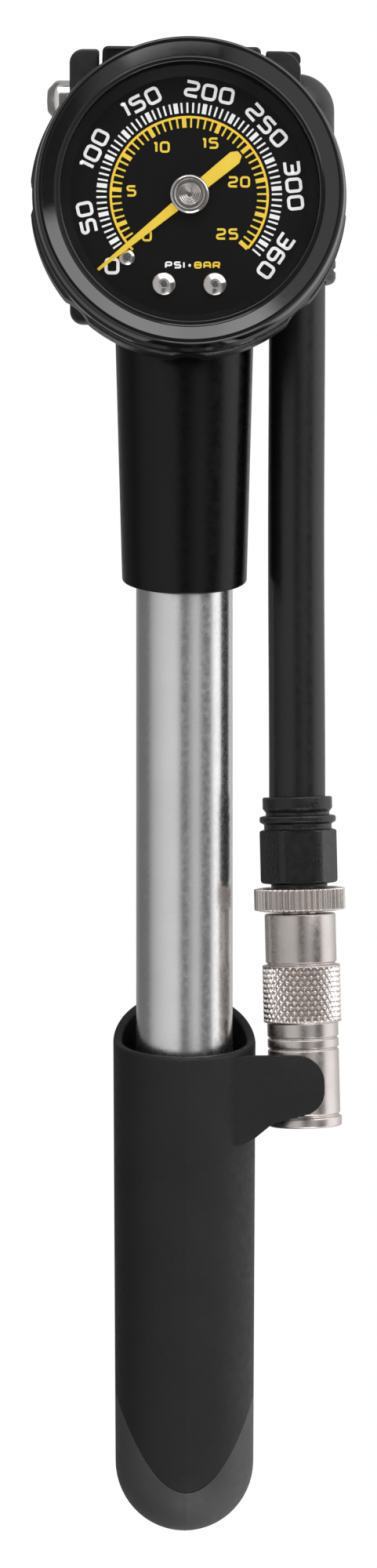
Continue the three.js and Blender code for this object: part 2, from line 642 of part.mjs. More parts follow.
add('lower_boot', onChuck(turned([
  [HOSE.radius + 0.15, -85.8], [5.2, -85.8], [5.2, -88.5], [5.7, -88.5], [5.7, -89.8], [5.2, -89.8], [5.2, -90.8],
  [5.75, -90.8], [5.75, -98.8], [4.2, -98.8], [4.2, -99.2], [3.5, -99.2], [3.5, -96.1], [4.75, -96.1],
  [4.75, -91.4], [HOSE.radius + 0.15, -91.4],
])), RUBBER);
add('hose_ferrule', onChuck(turned(ring(HOSE.radius + 0.08, 4.65, -95.9, -91.6))), STEEL);

const PIN_BAR_Y = -100.55; // middle of the pin's cross bar when the pin is drawn back
add('chuck_core', onChuck(cut(
  turned([
    [0, -87.5], [1.6, -87.5], [1.95, -88.5], [1.95, -96.15], [3.35, -96.15], [3.35, -99.1], [2.5, -99.1],
    [2.5, -105.3], [3.2, -105.3], [3.2, -120.2], [0, -120.2],
  ], FINE),
  turned(rod(1.0, -98.5, -87), TINY),
  turned(rod(1.5, -121, -98.0), TINY),
  box(-0.8, 0.8, -102.8, -99.8, -3, 3),
)), BRASS);
add('valve_pin', onChuck(join(
  turned([[0, -99], [0.8, -99], [0.8, -121.2], [0.5, -121.6], [0, -121.6]], TINY),
  box(-0.5, 0.5, PIN_BAR_Y - 0.4, PIN_BAR_Y + 0.4, -3.2, 3.2),
)), STEEL);
add('thumb_wheel', onChuck(turned([
  [2.8, -102.85], [6.8, -102.85], [6.8, -99.3], [2.8, -99.3], [2.8, -99.95], [3.7, -99.95], [3.7, -102.5],
  [2.8, -102.5],
])), NICKEL);
add('chuck_sleeve', onChuck(turned([
  [2.8, -103.2], [5.3, -103.2], [5.3, -110.85], [5.8, -110.85], [5.8, -119.4], [5.3, -119.4], [5.3, -133.3],
  [5.5, -133.3], [5.5, -134.9], [4.0, -134.9], [4.0, -120], [3.5, -120], [3.5, -105.0], [2.8, -105.0],
])), NICKEL);
add('valve_seal', onChuck(turned(ring(1.5, 3.8, -122.2, -120.25), FINE)), RUBBER);

export default pump;
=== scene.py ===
"""Looks for a compact shock pump with a dial gauge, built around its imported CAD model.

Lengths in this script are in millimetres unless a name or comment says otherwise, and become metres where
a mesh is made. The pump lies on its back with the dial up: +Z is the way the dial faces, +Y runs from the
handle to the gauge, +X is the side of the hose, and the origin is where the gauge's axis meets the flat back
of the head.
"""

import json
import math

import bmesh
import bpy
from mathutils import Matrix, Vector


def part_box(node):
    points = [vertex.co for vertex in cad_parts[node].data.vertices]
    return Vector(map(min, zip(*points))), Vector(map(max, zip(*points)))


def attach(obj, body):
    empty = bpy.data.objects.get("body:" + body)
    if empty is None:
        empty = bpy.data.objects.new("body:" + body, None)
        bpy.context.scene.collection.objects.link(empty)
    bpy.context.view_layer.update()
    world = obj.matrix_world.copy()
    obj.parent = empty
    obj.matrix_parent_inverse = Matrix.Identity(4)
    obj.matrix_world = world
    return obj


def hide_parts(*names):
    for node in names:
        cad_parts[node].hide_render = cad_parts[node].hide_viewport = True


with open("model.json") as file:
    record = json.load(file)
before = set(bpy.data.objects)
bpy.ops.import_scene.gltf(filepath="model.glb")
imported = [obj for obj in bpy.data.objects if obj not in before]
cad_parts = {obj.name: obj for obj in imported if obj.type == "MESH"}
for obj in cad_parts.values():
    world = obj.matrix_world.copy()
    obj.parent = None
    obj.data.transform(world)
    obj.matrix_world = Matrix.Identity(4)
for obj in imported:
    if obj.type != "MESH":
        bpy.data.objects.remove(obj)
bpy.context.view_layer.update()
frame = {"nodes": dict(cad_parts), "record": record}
NODES = frame["nodes"]
MM = 0.001
TAU = 2 * math.pi


def middle_mm(node):
    """The middle of a CAD node's box, in millimetres."""
    low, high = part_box(node)
    return [(a + b) / 2 / MM for a, b in zip(low, high)]


# ---- driving dimensions -----------------------------------------------------------------------------------

AXIS_Z = round(middle_mm("barrel")[2], 2)
BLEED_Y = round(middle_mm("bleed_button")[1], 2)
HOSE_X = round(middle_mm("upper_boot")[0], 2)
SWIVEL_Y = 16.5

BARREL_R = 7.2
BARREL_BORE = 6.2
SLEEVE = {"top": 10.4, "rim": 9.3, "bore": 7.5, "start": -14.1, "end": -53.5, "slope": 0.29}
HANDLE = {"rim": 10.62, "end": 10.28, "bore": 9.1, "start": -121.9, "ball": -184.75}
MOUTH = {"front": 0.17, "back": 0.64, "blend": 0.12}
CAP = {"tongue": -187.5, "rise": 13.2}
HEAD = {"left": -12.3, "right": 10.9, "low": -14, "back": 3.2, "front": 21.2}
COVER = {"left": -17.1, "right": 10.8, "housing_right": -12.75, "housing_low": 11}
GUARD = {"left": 11.8, "right": 16.9, "wall": 22.3, "low": 13, "front": 18.4}
HEAD_TOP = 23.9
CHUCK_TOP = -85.8
CHUCK_TILT = math.radians(1.4)
HOSE_R = 4.2
HOSE_BORE_R = 2.1

DIAL_Z = 32.5
LENS_Z = (34.4, 35.4)
BEZEL_FRONT = 37.0


# ---- meshes -----------------------------------------------------------------------------------------------

def make(name, points, faces, sharp=30, place=None):
    """A mesh object from points in millimetres, smooth except where faces meet beyond the sharp angle."""
    mesh = bpy.data.meshes.new(name)
    if place is not None:
        points = [place @ Vector(p) for p in points]
    mesh.from_pydata([Vector(p) * MM for p in points], [], faces)
    mesh.validate()
    mesh.update()
    tidy = bmesh.new()
    tidy.from_mesh(mesh)
    bmesh.ops.remove_doubles(tidy, verts=tidy.verts, dist=1e-7)
    bmesh.ops.recalc_face_normals(tidy, faces=tidy.faces)
    tidy.to_mesh(mesh)
    tidy.free()
    mesh.shade_smooth()
    mesh.set_sharp_from_angle(angle=math.radians(sharp))
    piece = bpy.data.objects.new(name, mesh)
    bpy.context.collection.objects.link(piece)
    return piece


def rounded(corners, steps=5, closed=True):
    """An outline whose corners [a, b] or [a, b, radius] are rounded by arcs."""
    line = []
    count = len(corners)
    for i, corner in enumerate(corners):
        radius = corner[2] if len(corner) > 2 else 0
        here = Vector(corner[:2])
        if radius == 0 or (not closed and i in (0, count - 1)):
            line.append(tuple(here))
            continue
        before = Vector(corners[i - 1][:2]) - here
        after = Vector(corners[(i + 1) % count][:2]) - here
        half = before.angle(after) / 2
        before.normalize()
        after.normalize()
        reach = radius / math.tan(half)
        middle = here + (before + after).normalized() * (radius / math.sin(half))
        first = here + before * reach - middle
        last = here + after * reach - middle
        start = math.atan2(first.y, first.x)
        turn = math.remainder(math.atan2(last.y, last.x) - start, TAU)
        for k in range(steps + 1):
            angle = start + turn * k / steps
            line.append((middle.x + radius * math.cos(angle), middle.y + radius * math.sin(angle)))
    return line


# Each of these turns the lathe's own axis, +Y, into the way that a piece points.
ALONG_Z = Matrix.Rotation(math.radians(90), 4, "X")
ALONG_X = Matrix.Rotation(math.radians(-90), 4, "Z")
ON_BARREL = Matrix.Translation((0, 0, AXIS_Z))
ON_BLEED = Matrix.Translation((0, BLEED_Y, AXIS_Z)) @ ALONG_X
ON_HOSE = Matrix.Translation((HOSE_X, 0, AXIS_Z))
ON_CHUCK = (
    Matrix.Translation((HOSE_X, CHUCK_TOP, AXIS_Z))
    @ Matrix.Rotation(CHUCK_TILT, 4, "Z")
    @ Matrix.Translation((0, -CHUCK_TOP, 0))
)


def ring_faces(sides, rows):
    """The faces of a closed tube made of so many sides, with so many points round each cut."""
    faces = []
    for k in range(sides):
        here = k * rows
        ahead = (k + 1) % sides * rows
        for j in range(rows):
            above = (j + 1) % rows
            faces.append((here + j, ahead + j, ahead + above, here + above))
    return faces


def turned(name, profile, place=ON_BARREL, sides=96, sharp=30, shape=None):
    """A closed profile of (radius, along) turned about its axis.

    shape(angle, radius, along) gives the radius that a point has at its angle.
    """
    points = []
    for k in range(sides):
        angle = TAU * k / sides
        for radius, along in profile:
            r = shape(angle, radius, along) if shape else radius
            points.append((r * math.sin(angle), along, r * math.cos(angle)))
    return make(name, points, ring_faces(sides, len(profile)), sharp, place)


def slanted(name, rows, sides=128):
    """A closed tube on the barrel's axis from rows, each a function of angle that gives (radius, along)."""
    points = []
    for k in range(sides):
        angle = TAU * k / sides
        for row in rows:
            radius, along = row(angle)
            points.append((radius * math.sin(angle), along, radius * math.cos(angle)))
    return make(name, points, ring_faces(sides, len(rows)), 35, ON_BARREL)


def finely(profile, longest):
    """The same closed profile with no edge longer than the given length."""
    line = []
    for (r0, y0), (r1, y1) in zip(profile, profile[1:] + profile[:1]):
        steps = max(1, math.ceil(math.hypot(r1 - r0, y1 - y0) / longest))
        line += [(r0 + (r1 - r0) * k / steps, y0 + (y1 - y0) * k / steps) for k in range(steps)]
    return line


def prism(outline, z0, z1):
    """Points and faces of an outline in XY drawn out from z0 to z1."""
    count = len(outline)
    points = [(x, y, z) for z in (z0, z1) for x, y in outline]
    faces = [tuple(range(count))[::-1], tuple(range(count, 2 * count))]
    faces += [(i, (i + 1) % count, count + (i + 1) % count, count + i) for i in range(count)]
    return points, faces


def slab(name, outline, z0, z1, bevel=0.3, place=None):
    """A flat plate of an outline in XY, from z0 to z1, with its edges rounded over."""
    piece = make(name, *prism(outline, z0, z1), 30, place)
    if bevel:
        rounding = piece.modifiers.new("rounding", "BEVEL")
        rounding.width = bevel * MM
        rounding.segments = 4
        rounding.limit_method = "ANGLE"
        rounding.angle_limit = math.radians(40)
        applied(piece)
        piece.data.set_sharp_from_angle(angle=math.radians(40))
    return piece


def applied(piece):
    """Applies a piece's modifiers to its mesh."""
    depsgraph = bpy.context.evaluated_depsgraph_get()
    mesh = bpy.data.meshes.new_from_object(piece.evaluated_get(depsgraph))
    piece.modifiers.clear()
    piece.data = mesh


def boolean(piece, other, operation):
    """Joins other to piece or cuts it out, and deletes other."""
    step = piece.modifiers.new("boolean", "BOOLEAN")
    step.operation = operation
    step.solver = "EXACT"
    step.object = other
    applied(piece)
    bpy.data.objects.remove(other)
    piece.data.set_sharp_from_angle(angle=math.radians(35))
    return piece


def gathered(name, solids):
    """One mesh from several lists of points and faces."""
    points = []
    faces = []
    for more_points, more_faces in solids:
        first = len(points)
        points += more_points
        faces += [tuple(first + i for i in face) for face in more_faces]
    return make(name, points, faces)


# ---- materials --------------------------------------------------------------------------------------------

def tint(r, g, b):
    return (r, g, b, 1)


def grey(level):
    return tint(level, level, level)


def colour(value):
    """A colour from a tint or from a single level of grey."""
    return value if isinstance(value, tuple) else grey(value)


class Nodes:
    """Short names for the nodes of one material."""

    def __init__(self, name):
        self.material = bpy.data.materials.new(name)
        self.material.use_nodes = True
        self.tree = self.material.node_tree
        self.shader = self.tree.nodes["Principled BSDF"]

    def new(self, kind):
        return self.tree.nodes.new(kind)

    def link(self, output, target):
        self.tree.links.new(output, target)

    def coordinates(self, stretch):
        place = self.new("ShaderNodeMapping")
        place.inputs["Scale"].default_value = stretch
        self.link(self.new("ShaderNodeTexCoord").outputs["Object"], place.inputs["Vector"])
        return place.outputs["Vector"]

    def noise(self, per_metre, stretch=(1, 1, 1), detail=4.0, roughness=0.5):
        node = self.new("ShaderNodeTexNoise")
        node.inputs["Scale"].default_value = per_metre
        node.inputs["Detail"].default_value = detail
        node.inputs["Roughness"].default_value = roughness
        self.link(self.coordinates(stretch), node.inputs["Vector"])
        return node.outputs["Fac"]

    def ramp(self, value, low, high):
        """A grey or coloured range over the middle of a noise value's range."""
        node = self.new("ShaderNodeValToRGB")
        first, last = node.color_ramp.elements
        first.position, last.position = 0.3, 0.7
        first.color, last.color = colour(low), colour(high)
        self.link(value, node.inputs["Fac"])
        return node.outputs["Color"]

    def bump(self, height, depth):
        node = self.new("ShaderNodeBump")
        node.inputs["Distance"].default_value = depth * MM
        self.link(height, node.inputs["Height"])
        self.link(node.outputs["Normal"], self.shader.inputs["Normal"])


def surface(
    name, low, high, rough, metallic=0.0, patches=90, grain=None, stretch=(1, 1, 1), specular=0.5, painted_glow=None,
):
    """A finish whose colour and roughness vary a little from patch to patch.

    patches is their number per metre. grain is a fine unevenness of (per metre, depth), with its noise scaled
    by stretch along X, Y and Z. painted_glow is the strength of a slight light of its own: painted light that
    makes the finish brighter than the lamps alone would.
    """
    made = Nodes(name)
    shader = made.shader
    shader.inputs["Metallic"].default_value = metallic
    shader.inputs["Specular IOR Level"].default_value = specular
    made.link(made.ramp(made.noise(patches), low, high), shader.inputs["Base Color"])
    made.link(made.ramp(made.noise(patches * 9), *rough), shader.inputs["Roughness"])
    # Painted light: the finish gives off a slight light of its own in its top colour, though it is no lamp.
    if painted_glow:
        shader.inputs["Emission Color"].default_value = colour(high)
        shader.inputs["Emission Strength"].default_value = painted_glow
    if grain:
        per_metre, depth = grain
        made.bump(made.noise(per_metre, stretch, 3.0, 0.6), depth)
    return made.material


GLOSS_BLACK = surface("gloss_black", 0.0005, 0.001, (0.22, 0.32), specular=0.3, grain=(900, 0.004))
BEZEL_BLACK = surface(
    "bezel_black", tint(0.001, 0.001, 0.0012), tint(0.002, 0.002, 0.0024), (0.08, 0.16), specular=0.85,
    grain=(700, 0.003),
)
SATIN_BLACK = surface("satin_black", 0.004, 0.007, (0.34, 0.44), grain=(2600, 0.012))
MATTE_BLACK = surface(
    "matte_black", tint(0.0045, 0.0047, 0.0054), tint(0.008, 0.0082, 0.009), (0.46, 0.60), specular=0.36,
    grain=(3000, 0.10),
)
GREY_PLASTIC = surface(
    "grey_plastic", tint(0.036, 0.0363, 0.0385), tint(0.044, 0.0444, 0.047), (0.45, 0.58),
    grain=(4200, 0.02),
)
BLACK_RUBBER = surface(
    "black_rubber", tint(0.003, 0.003, 0.0034), tint(0.005, 0.005, 0.0056), (0.24, 0.38),
    grain=(2400, 0.09),
)
HOSE_RUBBER = surface(
    "hose_rubber", tint(0.004, 0.0042, 0.0047), tint(0.006, 0.0062, 0.007), (0.28, 0.38),
    grain=(2200, 0.02), stretch=(1, 0.35, 1),
)
BARE_ALUMINIUM = surface(
    "bare_aluminium", tint(0.80, 0.79, 0.79), tint(0.86, 0.85, 0.85), (0.22, 0.30), metallic=1.0,
    patches=140, grain=(2600, 0.004), stretch=(1, 0.06, 1),
)
NICKEL = surface(
    "nickel", tint(0.60, 0.55, 0.53), tint(0.70, 0.645, 0.62), (0.24, 0.34), metallic=1.0,
    patches=160, grain=(1500, 0.003), stretch=(1, 5, 1),
)
POLISHED = surface(
    "polished_nickel", tint(0.84, 0.81, 0.79), tint(0.90, 0.87, 0.85), (0.10, 0.18), metallic=1.0,
    patches=160, grain=(1500, 0.002),
)
STEEL = surface(
    "steel", tint(0.55, 0.55, 0.56), tint(0.65, 0.65, 0.66), (0.18, 0.30), metallic=1.0, patches=200,
)
BRASS = surface(
    "brass", tint(0.60, 0.43, 0.20), tint(0.70, 0.52, 0.27), (0.22, 0.36), metallic=1.0, patches=200,
)
DIAL_BLACK = surface("dial_black", 0.0012, 0.002, (0.42, 0.55), specular=0.2, grain=(6000, 0.004))
# The print glows a little: painted light that makes it brighter than the lamps alone would.
PRINT_WHITE = surface("print_white", 0.86, 0.93, (0.5, 0.6), patches=400, specular=0.3, painted_glow=0.45)
PRINT_YELLOW = surface(
    "print_yellow", tint(0.86, 0.60, 0.055), tint(0.93, 0.66, 0.075), (0.5, 0.6), patches=400,
    specular=0.3, painted_glow=0.4,
)
# The pointer glows a little too: painted light that brightens it beyond what the lamps give.
POINTER_YELLOW = surface(
    "pointer_yellow", tint(0.90, 0.62, 0.05), tint(0.96, 0.68, 0.07), (0.36, 0.46), patches=300, painted_glow=0.35,
)


def clear_window():
    """The clear plastic of the gauge's window."""
    made = Nodes("clear")
    shader = made.shader
    shader.inputs["Base Color"].default_value = grey(0.02)
    shader.inputs["Alpha"].default_value = 0.10
    shader.inputs["IOR"].default_value = 1.49
    made.link(made.ramp(made.noise(120), 0.02, 0.04), shader.inputs["Roughness"])
    made.material.surface_render_method = "BLENDED"
    return made.material


CLEAR = clear_window()

SLOT_MATERIALS = {
    "gloss_black": GLOSS_BLACK,
    "satin_black": SATIN_BLACK,
    "matte_black": MATTE_BLACK,
    "grey_plastic": GREY_PLASTIC,
    "black_rubber": BLACK_RUBBER,
    "bare_aluminium": BARE_ALUMINIUM,
    "nickel": NICKEL,
    "steel": STEEL,
    "brass": BRASS,
    "dial_black": DIAL_BLACK,
    "pointer_yellow": POINTER_YELLOW,
    "clear": CLEAR,
}
for part in frame["record"]["subparts"]:
    NODES[part["node"]].data.materials.clear()
    NODES[part["node"]].data.materials.append(SLOT_MATERIALS[part["material_slot"]])


def fit(piece, body, slot, material=None, instead_of=()):
    """Gives a finished piece its material, or else the material of its slot, puts it on its body, and hides
    the CAD nodes it stands for.
    """
    piece.data.materials.clear()
    piece.data.materials.append(material or SLOT_MATERIALS[slot])
    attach(piece, body)
    if instead_of:
        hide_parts(*instead_of)
    return piece


# ---- head -------------------------------------------------------------------------------------------------

def hexagon_below(size):
    """A socket: radii under the given size become the radius of a hexagon."""
    def shape(angle, radius, along):
        if 0 < radius < size:
            turn = math.remainder(angle, TAU / 6)
            return radius * math.cos(TAU / 12) / math.cos(turn)
        return radius
    return shape


def head():
    """The block, and its cover with the bleed button's housing and the guard over the swivel."""
    low = HEAD["low"]
    core = slab("core_block", rounded([
        (HEAD["left"], low, 1.0), (HEAD["right"], low, 1.0),
        (HEAD["right"], HEAD_TOP, 0.8), (HEAD["left"], HEAD_TOP, 0.8),
    ]), HEAD["back"], HEAD["front"], 0.5)
    fit(core, "pump_body", "gloss_black", instead_of=["head_core"])

    back = slab("back_cover", rounded([
        (COVER["left"], low, 2.0), (COVER["right"], low, 1.0), (COVER["right"], GUARD["wall"], 0.3),
        (GUARD["right"], GUARD["wall"], 0.3), (GUARD["right"], HEAD_TOP, 1.1), (COVER["left"], HEAD_TOP, 2.0),
    ], 8), 0, 3.0, 0.6)
    housing = slab("bleed_housing", rounded([
        (COVER["left"], COVER["housing_low"], 2.0), (COVER["housing_right"], COVER["housing_low"], 0.4),
        (COVER["housing_right"], HEAD_TOP, 0.5), (COVER["left"], HEAD_TOP, 2.0),
    ], 8), 1.0, 19.0, 0.7)
    wall = slab("guard_wall", rounded([
        (GUARD["left"], GUARD["wall"], 0.2), (GUARD["right"], GUARD["wall"], 0.2),
        (GUARD["right"], HEAD_TOP, 1.1), (GUARD["left"], HEAD_TOP, 0.3),
    ], 8), 1.0, GUARD["front"] - 0.4, 0.15)
    ear = slab("guard_ear", rounded([
        (GUARD["left"], GUARD["low"], 0.5), (GUARD["right"], GUARD["low"], 0.8),
        (GUARD["right"], HEAD_TOP, 2.8), (GUARD["left"], HEAD_TOP, 0.3),
    ], 10), GUARD["front"] - 1.7, GUARD["front"], 0.6)
    shell = boolean(back, housing, "UNION")
    shell = boolean(shell, boolean(wall, ear, "UNION"), "UNION")
    bore = turned("bore", [(0, -18), (3.25, -18), (3.25, -12), (0, -12)], ON_BLEED, 48)
    boolean(shell, bore, "DIFFERENCE")
    for i in range(4):
        x, y, _ = middle_mm(f"cover_screw_{i + 1}")
        place = Matrix.Translation((x, y, 0)) @ ALONG_Z
        recess = turned("recess", [(0, -1), (2.15, -1), (2.15, 1.5), (0, 1.5)], place, 32)
        boolean(shell, recess, "DIFFERENCE")
        screw = turned(f"cover_screw_head_{i + 1}", rounded([
            (0, 0.75), (0.75, 0.75), (0.75, 0.15, 0.05), (1.9, 0.2, 0.3), (1.9, 1.45), (0, 1.45),
        ], 3), place, 40, shape=hexagon_below(0.8))
        fit(screw, "pump_body", "steel", instead_of=[f"cover_screw_{i + 1}"])
    fit(shell, "pump_body", "satin_black", instead_of=["head_shell"])


def sleeve_fall(angle):
    """How far the sleeve's rim falls towards the front, for each millimetre of radius."""
    return SLEEVE["slope"] * math.cos(angle)


def mouth_fall(angle):
    """The same for the handle's rim, which is nearly flat at the front and rises steeply at the back."""
    forward = math.cos(angle)
    front, back, blend = MOUTH["front"], MOUTH["back"], MOUTH["blend"]
    bent = math.sqrt(forward ** 2 + blend ** 2) - blend
    return (front + back) / 2 * forward + (front - back) / 2 * bent


def rim_rows(start, fall, outer, inner, edge, depth, way=1):
    """Rows from inside a slanted rim, over its rounded edge, to the outside.

    start is the rim's place at the sides, and way is 1 where the tube goes on towards +Y, or -1 towards -Y.
    """
    steps = 5

    def row(radius, back):
        return lambda angle: (radius, start - fall(angle) * radius + way * back)

    rows = [row(inner, depth), row(inner, edge)]
    for k in range(1, steps + 1):
        turn = math.pi / 2 * k / steps
        rows.append(row(inner + edge * (1 - math.cos(turn)), edge * (1 - math.sin(turn))))
    for k in range(steps + 1):
        turn = math.pi / 2 * k / steps
        rows.append(row(outer - edge * (1 - math.sin(turn)), edge * (1 - math.cos(turn))))
    return rows


def upper_sleeve():
    """The tapered collar on the barrel, with its slanted rim."""
    s = SLEEVE
    edge = 0.35
    rows = rim_rows(s["end"], sleeve_fall, s["rim"], s["bore"], edge, 6)
    steps = 12
    for k in range(1, steps + 1):
        def row(angle, share=k / steps):
            foot = s["end"] + edge - sleeve_fall(angle) * s["rim"]
            along = foot + (s["start"] - foot) * share
            whole = (along - s["end"]) / (s["start"] - s["end"])
            return s["rim"] + (s["top"] - s["rim"]) * max(0, whole), along
        rows.append(row)
    rows.append(lambda angle: (s["bore"], s["start"]))
    sleeve = slanted("sleeve", rows)
    fit(sleeve, "pump_body", "gloss_black", instead_of=["upper_sleeve"])


def barrel():
    """The drawn tube, with its end bush and the piston's rod."""
    tube = turned("barrel_tube", rounded([
        (BARREL_BORE, -184), (BARREL_R, -184, 0.3), (BARREL_R, -2.8), (BARREL_BORE, -2.8),
    ]))
    fit(tube, "pump_body", "bare_aluminium", instead_of=["barrel"])
    guide = turned("rod_guide_ring", rounded([
        (3.3, -185.2, 0.2), (7.05, -185.2, 0.3), (7.05, -184.05, 0.1), (6.1, -184.05), (6.1, -176),
        (3.3, -176),
    ], 3), sides=72)
    fit(guide, "pump_body", "brass", instead_of=["rod_guide"])
    piston_rod = turned("rod", [
        (0, -8.3), (3.0, -8.3), (3.0, -9.9), (2.2, -9.9), (2.2, -11.8), (3.0, -11.8), (3.0, -188.6),
        (2.2, -188.6), (2.2, -192), (0, -192),
    ], sides=64)
    fit(piston_rod, "handle", "steel", instead_of=["piston_rod"])


# ---- gauge ------------------------------------------------------------------------------------------------

# Half a notch is the given share of the way from one notch to the next. Radii under "from" stay round.
NOTCHES = {"count": 8, "from": 21.9, "half": 0.135, "depth": 0.6}


def scalloped(angle, radius, along):
    """The grip ring's outline: a shallow notch every 45 degrees, deepest at its middle."""
    if radius < NOTCHES["from"]:
        return radius
    pitch = TAU / NOTCHES["count"]
    turn = math.remainder(angle, pitch) / pitch
    notch = max(0.0, 1 - (turn / NOTCHES["half"]) ** 2)
    return radius - NOTCHES["depth"] * notch


def gauge_housing():
    """The cup, grip ring, bezel, sloped ring and window."""
    case = turned("gauge_cup", rounded([
        (0, 21.3), (20.6, 21.3, 0.6), (21.5, 22.3, 0.6), (21.5, 30.7), (20.8, 30.7), (20.8, 32), (19.9, 32),
        (19.9, 23), (0, 23),
    ]), ALONG_Z, 144)
    fit(case, "pump_body", "satin_black", instead_of=["gauge_case"])
    grip = turned("gauge_grip_ring", finely(rounded([
        (21.55, 25.0), (22.75, 25.0, 0.6), (22.75, 30.4, 0.6), (21.55, 30.4),
    ]), 1.2), ALONG_Z, 360, shape=scalloped)
    fit(grip, "pump_body", "black_rubber", instead_of=["gauge_grip"])
    bezel = turned("gauge_bezel_ring", rounded([
        (20.95, 30.8), (22.1, 30.8, 0.3), (22.4, 31.8, 0.6), (22.4, 33.4, 0.5), (21.85, 34.4, 0.3),
        (22.1, 34.9, 0.3), (21.75, BEZEL_FRONT, 0.4), (21.05, BEZEL_FRONT, 0.22), (19.15, 36.05, 0.2),
        (18.95, 36.25, 0.12), (18.4, 36.2, 0.15), (18.4, 35.45), (20.95, 35.45),
    ], 6), ALONG_Z, 192)
    fit(bezel, "pump_body", "gloss_black", BEZEL_BLACK, ["gauge_bezel"])
    gasket = turned("gauge_spacer", rounded([
        (17.0, 32.55), (20.4, 32.55), (20.4, 34.35), (18.4, 34.35), (18.4, 33.75, 0.2),
    ]), ALONG_Z, 144)
    fit(gasket, "pump_body", "black_rubber", DIAL_BLACK, ["lens_gasket"])
    lens = turned("gauge_window", rounded([
        (0, LENS_Z[0]), (20.5, LENS_Z[0]), (20.5, LENS_Z[1], 0.2), (0, LENS_Z[1]),
    ]), ALONG_Z, 144)
    fit(lens, "pump_body", "clear", CLEAR, ["gauge_lens"])


def on_dial(clockwise, radius):
    """A point on the dial from its clock angle in degrees and its distance from the middle."""
    angle = math.radians(clockwise)
    return radius * math.sin(angle), radius * math.cos(angle)


PRINT = (DIAL_Z - 0.02, DIAL_Z + 0.03)
SCALE_ZERO = 220.0
DEGREES_PER_PSI = 0.75
DEGREES_PER_2_5_BAR = 27.2
PSI_TICK = {"inner": 11.8, "outer": 13.25, "bold": 0.62, "fine": 0.27}
BAR_TICK = {"inner": 9.7, "bold": 0.62, "fine": 0.26, "first": 226, "last": 492.3}
BAR_ARC = {"start": 226, "sweep": 265.8, "radius": 11.2, "width": 0.34}
# Height, width, width of the strokes, and gap as a share of the height.
PSI_FIGURES = (2.4, 2.15, 0.45, 0.15)
PSI_UNIT = (1.0, 1.05, 0.24, 0.22)
BAR_FIGURES = (1.62, 1.42, 0.31, 0.2)
BAR_UNIT = (1.0, 1.1, 0.24, 0.22)


def tick(clockwise, inner, outer, width):
    """A radial bar on the dial."""
    x0, y0 = on_dial(clockwise, inner)
    x1, y1 = on_dial(clockwise, outer)
    sx, sy = on_dial(clockwise + 90, width / 2)
    return prism([(x0 - sx, y0 - sy), (x0 + sx, y0 + sy), (x1 + sx, y1 + sy), (x1 - sx, y1 - sy)], *PRINT)


# Square, wide figures, as strokes in a box one unit wide and one unit high. The first number is how much of
# that width the glyph takes up.
GLYPHS = {
    "0": (1.0, [[(0, 0), (1, 0), (1, 1), (0, 1), "closed"]]),
    "1": (0.35, [[(0.15, 0), (0.15, 1)], [(-0.12, 0.9), (0.15, 0.97)]]),
    "2": (1.0, [[(0, 1), (1, 1), (1, 0.52), (0, 0.4), (0, 0), (1.02, 0)]]),
    "3": (1.0, [[(0, 1), (1, 1), (1, 0), (0, 0)], [(0.25, 0.52), (0.95, 0.52)]]),
    "5": (1.0, [[(1, 1), (0.02, 1), (0.02, 0.57), (1, 0.57), (1, 0), (0, 0)]]),
    "6": (1.0, [[(0.95, 1), (0, 1), (0, 0), (1, 0), (1, 0.57), (0.05, 0.57)]]),
    "P": (1.0, [[(0, 0), (0, 1), (1, 1), (1, 0.42), (0.02, 0.42)]]),
    "S": (1.0, [[(1, 1), (0, 1), (0, 0.52), (1, 0.52), (1, 0), (0, 0)]]),
    "I": (0.1, [[(0.05, 0), (0.05, 1)]]),
    "B": (1.0, [[(0, 0), (1, 0), (1, 1), (0, 1), "closed"], [(0.02, 0.52), (0.98, 0.52)]]),
    "A": (1.0, [[(0, 0), (0, 1), (1, 1), (1, 0)], [(0.02, 0.4), (0.98, 0.4)]]),
    "R": (1.0, [[(0, 0), (0, 1), (1, 1), (1, 0.42), (0.02, 0.42)], [(0.6, 0.42), (1, 0)]]),
}


def stroke(line, width):
    """The two sides of a ribbon along a line with rounded corners, and whether it is closed."""
    closed = line[-1] == "closed"
    corners = [p for p in line if p != "closed"]
    radius = width * 1.05
    bends = []
    for i, (x, y) in enumerate(corners):
        if not closed and i in (0, len(corners) - 1):
            bends.append((x, y))
            continue
        before = Vector(corners[i - 1]) - Vector((x, y))
        after = Vector(corners[(i + 1) % len(corners)]) - Vector((x, y))
        if before.angle(after) > math.radians(165):
            bends.append((x, y))
        else:
            reach = min(radius, 0.45 * before.length, 0.45 * after.length)
            bends.append((x, y, reach * math.tan(before.angle(after) / 2)))
    path = [Vector(p) for p in rounded(bends, 5, closed)]
    count = len(path)
    sides = []
    for i, here in enumerate(path):
        ahead = path[(i + 1) % count] if closed or i < count - 1 else here
        behind = path[i - 1] if closed or i > 0 else here
        into = (here - behind).normalized() if (here - behind).length else (ahead - here).normalized()
        out = (ahead - here).normalized() if (ahead - here).length else into
        way = (into + out).normalized()
        across = Vector((-way.y, way.x)) * (width / 2 / max(0.5, way.dot(out)))
        sides.append((here - across, here + across))
    return sides, closed


def ribbon(sides, closed, place):
    """Points and faces of a raised ribbon."""
    points = []
    for left, right in sides:
        for z in PRINT:
            for side in (left, right):
                x, y = place(side)
                points.append((x, y, z))
    faces = []
    count = len(sides)
    for i in range(count if closed else count - 1):
        a = 4 * i
        b = 4 * ((i + 1) % count)
        faces += [
            (a, a + 1, b + 1, b), (a + 2, b + 2, b + 3, a + 3),
            (a, b, b + 2, a + 2), (a + 1, a + 3, b + 3, b + 1),
        ]
    if not closed:
        faces += [(0, 2, 3, 1), (4 * count - 4, 4 * count - 3, 4 * count - 1, 4 * count - 2)]
    return points, faces


